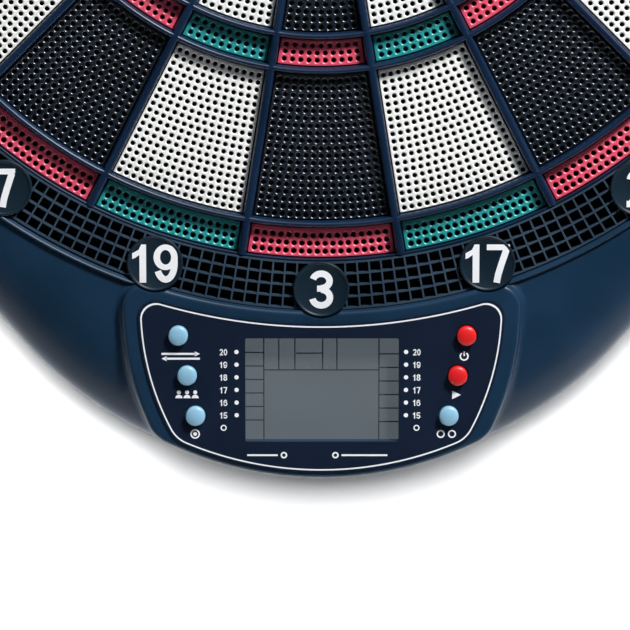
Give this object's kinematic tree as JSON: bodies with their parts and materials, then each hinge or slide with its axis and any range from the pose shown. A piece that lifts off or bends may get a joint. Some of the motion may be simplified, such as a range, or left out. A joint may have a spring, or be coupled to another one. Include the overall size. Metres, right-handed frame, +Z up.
{
  "type": "electronic dartboard",
  "caption": "Wall-hung soft-tip electronic dartboard: round target of sprung pierced segments in a spider, celled catch ring, and a lower console with display and push buttons.",
  "frame": {"origin": "on the wall plane, behind the centre of the bull", "axes": "+Z up through the 20 wedge, +Y into the wall, +X to the right of a player who faces the board"},
  "size_m": [0.484, 0.0424, 0.5283],
  "materials": {
    "segment_black": "glossy moulded, pierced with tip holes",
    "segment_white": "satin moulded, pierced with tip holes",
    "segment_red": "satin moulded",
    "segment_teal": "satin moulded",
    "web_plastic": "satin moulded",
    "ring_plastic": "fine-grained moulded",
    "case_plastic": "fine-grained satin moulded",
    "overlay_print": "printed satin film",
    "clear_window": "clear acrylic",
    "display_grey": "reflective display glass",
    "button_blue": "smooth moulded",
    "button_red": "smooth moulded",
    "rear_plastic": "grained moulded",
    "soft_rubber": "silicone",
    "sheet_rubber": "matt",
    "film_clear": "clear film with printed tracks",
    "board_green": "solder mask",
    "chip_black": "moulded",
    "socket_cream": "moulded",
    "fibreboard": "pressed hardboard",
    "screw_steel": "zinc plated",
    "cell_wrap": "printed sleeve",
    "wire_sleeve": "insulation"
  },
  "bodies": {
    "root": {"spider": "web_plastic", "catch_ring": "ring_plastic", "number_discs": "ring_plastic", "front_housing": "case_plastic", "panel_overlay": "overlay_print", "display_lens": "clear_window", "display_glass": "display_grey", "display_frame": "rear_plastic", "contact_strips": "soft_rubber", "keypad_mat": "soft_rubber", "main_board": "board_green", "controller_chip": "chip_black", "ribbon_socket": "socket_cream", "board_screws": "screw_steel", "rubber_sheet": "sheet_rubber", "membrane_top": "film_clear", "membrane_spacer": "film_clear", "membrane_bottom": "film_clear", "membrane_ribbon": "film_clear", "backing_plate": "fibreboard", "backing_screws": "screw_steel", "catch_ring_screws": "screw_steel", "rear_cover": "rear_plastic", "rear_screws": "screw_steel", "speaker": "chip_black", "power_socket": "chip_black", "batteries": "cell_wrap", "battery_contacts": "screw_steel", "wires": "wire_sleeve", "wall_pads": "sheet_rubber"},
    "segments_20": {"segments_20": "segment_black"},
    "segments_1": {"segments_1": "segment_white"},
    "segments_18": {"segments_18": "segment_black"},
    "segments_4": {"segments_4": "segment_white"},
    "segments_13": {"segments_13": "segment_black"},
    "segments_6": {"segments_6": "segment_white"},
    "segments_10": {"segments_10": "segment_black"},
    "segments_15": {"segments_15": "segment_white"},
    "segments_2": {"segments_2": "segment_black"},
    "segments_17": {"segments_17": "segment_white"},
    "segments_3": {"segments_3": "segment_black"},
    "segments_19": {"segments_19": "segment_white"},
    "segments_7": {"segments_7": "segment_black"},
    "segments_16": {"segments_16": "segment_white"},
    "segments_8": {"segments_8": "segment_black"},
    "segments_11": {"segments_11": "segment_white"},
    "segments_14": {"segments_14": "segment_black"},
    "segments_9": {"segments_9": "segment_white"},
    "segments_12": {"segments_12": "segment_black"},
    "segments_5": {"segments_5": "segment_white"},
    "outer_bull": {"outer_bull": "segment_teal"},
    "inner_bull": {"inner_bull": "segment_red"},
    "button_upper_left": {"button_upper_left": "button_blue"},
    "button_middle_left": {"button_middle_left": "button_blue"},
    "button_lower_left": {"button_lower_left": "button_blue"},
    "button_upper_right": {"button_upper_right": "button_red"},
    "button_middle_right": {"button_middle_right": "button_red"},
    "button_lower_right": {"button_lower_right": "button_blue"},
    "battery_door": {"battery_door": "rear_plastic"}
  },
  "joints": [
    {"name": "press_20", "type": "slide", "parent": "root", "child": "segments_20", "axis": [0, 1, 0], "range_m": [0, 0.0008], "stiffness_N_per_m": 2500, "springref_m": -0.0004},
    {"name": "press_1", "type": "slide", "parent": "root", "child": "segments_1", "axis": [0, 1, 0], "range_m": [0, 0.0008], "stiffness_N_per_m": 2500, "springref_m": -0.0004},
    {"name": "press_18", "type": "slide", "parent": "root", "child": "segments_18", "axis": [0, 1, 0], "range_m": [0, 0.0008], "stiffness_N_per_m": 2500, "springref_m": -0.0004},
    {"name": "press_4", "type": "slide", "parent": "root", "child": "segments_4", "axis": [0, 1, 0], "range_m": [0, 0.0008], "stiffness_N_per_m": 2500, "springref_m": -0.0004},
    {"name": "press_13", "type": "slide", "parent": "root", "child": "segments_13", "axis": [0, 1, 0], "range_m": [0, 0.0008], "stiffness_N_per_m": 2500, "springref_m": -0.0004},
    {"name": "press_6", "type": "slide", "parent": "root", "child": "segments_6", "axis": [0, 1, 0], "range_m": [0, 0.0008], "stiffness_N_per_m": 2500, "springref_m": -0.0004},
    {"name": "press_10", "type": "slide", "parent": "root", "child": "segments_10", "axis": [0, 1, 0], "range_m": [0, 0.0008], "stiffness_N_per_m": 2500, "springref_m": -0.0004},
    {"name": "press_15", "type": "slide", "parent": "root", "child": "segments_15", "axis": [0, 1, 0], "range_m": [0, 0.0008], "stiffness_N_per_m": 2500, "springref_m": -0.0004},
    {"name": "press_2", "type": "slide", "parent": "root", "child": "segments_2", "axis": [0, 1, 0], "range_m": [0, 0.0008], "stiffness_N_per_m": 2500, "springref_m": -0.0004},
    {"name": "press_17", "type": "slide", "parent": "root", "child": "segments_17", "axis": [0, 1, 0], "range_m": [0, 0.0008], "stiffness_N_per_m": 2500, "springref_m": -0.0004},
    {"name": "press_3", "type": "slide", "parent": "root", "child": "segments_3", "axis": [0, 1, 0], "range_m": [0, 0.0008], "stiffness_N_per_m": 2500, "springref_m": -0.0004},
    {"name": "press_19", "type": "slide", "parent": "root", "child": "segments_19", "axis": [0, 1, 0], "range_m": [0, 0.0008], "stiffness_N_per_m": 2500, "springref_m": -0.0004},
    {"name": "press_7", "type": "slide", "parent": "root", "child": "segments_7", "axis": [0, 1, 0], "range_m": [0, 0.0008], "stiffness_N_per_m": 2500, "springref_m": -0.0004},
    {"name": "press_16", "type": "slide", "parent": "root", "child": "segments_16", "axis": [0, 1, 0], "range_m": [0, 0.0008], "stiffness_N_per_m": 2500, "springref_m": -0.0004},
    {"name": "press_8", "type": "slide", "parent": "root", "child": "segments_8", "axis": [0, 1, 0], "range_m": [0, 0.0008], "stiffness_N_per_m": 2500, "springref_m": -0.0004},
    {"name": "press_11", "type": "slide", "parent": "root", "child": "segments_11", "axis": [0, 1, 0], "range_m": [0, 0.0008], "stiffness_N_per_m": 2500, "springref_m": -0.0004},
    {"name": "press_14", "type": "slide", "parent": "root", "child": "segments_14", "axis": [0, 1, 0], "range_m": [0, 0.0008], "stiffness_N_per_m": 2500, "springref_m": -0.0004},
    {"name": "press_9", "type": "slide", "parent": "root", "child": "segments_9", "axis": [0, 1, 0], "range_m": [0, 0.0008], "stiffness_N_per_m": 2500, "springref_m": -0.0004},
    {"name": "press_12", "type": "slide", "parent": "root", "child": "segments_12", "axis": [0, 1, 0], "range_m": [0, 0.0008], "stiffness_N_per_m": 2500, "springref_m": -0.0004},
    {"name": "press_5", "type": "slide", "parent": "root", "child": "segments_5", "axis": [0, 1, 0], "range_m": [0, 0.0008], "stiffness_N_per_m": 2500, "springref_m": -0.0004},
    {"name": "press_outer_bull", "type": "slide", "parent": "root", "child": "outer_bull", "axis": [0, 1, 0], "range_m": [0, 0.0008], "stiffness_N_per_m": 1500, "springref_m": -0.0004},
    {"name": "press_inner_bull", "type": "slide", "parent": "root", "child": "inner_bull", "axis": [0, 1, 0], "range_m": [0, 0.0008], "stiffness_N_per_m": 1500, "springref_m": -0.0004},
    {"name": "push_upper_left", "type": "slide", "parent": "root", "child": "button_upper_left", "axis": [0, 1, 0], "range_m": [0, 0.0012], "stiffness_N_per_m": 600, "springref_m": -0.0003},
    {"name": "push_middle_left", "type": "slide", "parent": "root", "child": "button_middle_left", "axis": [0, 1, 0], "range_m": [0, 0.0012], "stiffness_N_per_m": 600, "springref_m": -0.0003},
    {"name": "push_lower_left", "type": "slide", "parent": "root", "child": "button_lower_left", "axis": [0, 1, 0], "range_m": [0, 0.0012], "stiffness_N_per_m": 600, "springref_m": -0.0003},
    {"name": "push_upper_right", "type": "slide", "parent": "root", "child": "button_upper_right", "axis": [0, 1, 0], "range_m": [0, 0.0012], "stiffness_N_per_m": 600, "springref_m": -0.0003},
    {"name": "push_middle_right", "type": "slide", "parent": "root", "child": "button_middle_right", "axis": [0, 1, 0], "range_m": [0, 0.0012], "stiffness_N_per_m": 600, "springref_m": -0.0003},
    {"name": "push_lower_right", "type": "slide", "parent": "root", "child": "button_lower_right", "axis": [0, 1, 0], "range_m": [0, 0.0012], "stiffness_N_per_m": 600, "springref_m": -0.0003},
    {"name": "door_hinge", "type": "hinge", "parent": "root", "child": "battery_door", "pos_m": [-0.041, -0.0026, -0.2096], "axis": [1, 0, 0], "range_deg": [0, 100]}
  ]
}
